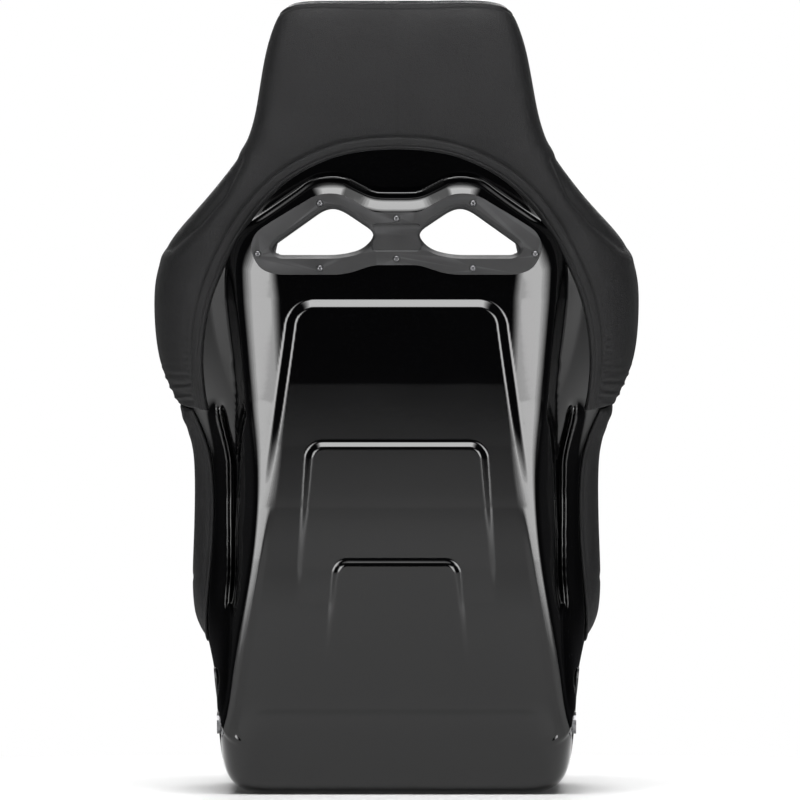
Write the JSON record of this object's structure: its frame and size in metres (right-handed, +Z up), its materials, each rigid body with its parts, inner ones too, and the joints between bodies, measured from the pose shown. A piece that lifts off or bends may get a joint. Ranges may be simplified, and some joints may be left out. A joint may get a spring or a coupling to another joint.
{
  "type": "racing seat",
  "caption": "Fixed-back bucket racing seat: gloss shell with upholstered wings and head, harness frame, pads and lift-off cushions.",
  "frame": {"origin": "bottom centre of the whole seat, on the floor", "axes": "+X to the sitter's left, -Y the way the seat faces, +Z up"},
  "size_m": [0.5544, 0.602, 0.9001],
  "materials": {
    "gloss_shell": "high gloss gel coat",
    "cover": "fine-grained synthetic leather, satin",
    "fabric": "woven upholstery fabric, matte",
    "hook_tape": "hook-and-loop tape",
    "satin_plastic": "satin moulded plastic",
    "steel": "blackened steel"
  },
  "bodies": {
    "seat_frame": {"shell": "gloss_shell", "rear_cover": "cover", "upper_edge_roll": "cover", "wing_edge_cover_left": "cover", "wing_edge_cover_right": "cover", "wing_edge_roll_left": "cover", "wing_edge_roll_right": "cover", "front_edge_roll": "cover", "back_pad": "fabric", "head_pad": "fabric", "base_pad": "fabric", "torso_bolster_left": "cover", "torso_bolster_right": "cover", "shoulder_pad_left": "cover", "shoulder_pad_right": "cover", "thigh_bolster_left": "cover", "thigh_bolster_right": "cover", "seat_hook_strip_front": "hook_tape", "seat_hook_strip_rear": "hook_tape", "back_hook_strip_lower": "hook_tape", "back_hook_strip_upper": "hook_tape", "rear_bezel": "satin_plastic", "front_bezel": "satin_plastic", "lap_belt_trim_left": "satin_plastic", "lap_belt_trim_right": "satin_plastic", "crotch_strap_trim": "satin_plastic", "bezel_screw_1": "steel", "bezel_screw_2": "steel", "bezel_screw_3": "steel", "bezel_screw_4": "steel", "bezel_screw_5": "steel", "bezel_screw_6": "steel", "bezel_screw_7": "steel", "bezel_screw_8": "steel", "mount_insert_1": "steel", "mount_insert_2": "steel", "mount_insert_3": "steel", "mount_insert_4": "steel"},
    "seat_cushion_body": {"seat_cushion": "fabric"},
    "back_cushion_body": {"back_cushion": "fabric"}
  },
  "joints": [
    {"name": "seat_cushion_lift", "type": "slide", "parent": "seat_frame", "child": "seat_cushion_body", "axis": [0, -0.2588, 0.9659], "range_m": [0, 0.2]},
    {"name": "back_cushion_lift", "type": "slide", "parent": "seat_frame", "child": "back_cushion_body", "axis": [0, -0.766, 0.6428], "range_m": [0, 0.15]}
  ]
}
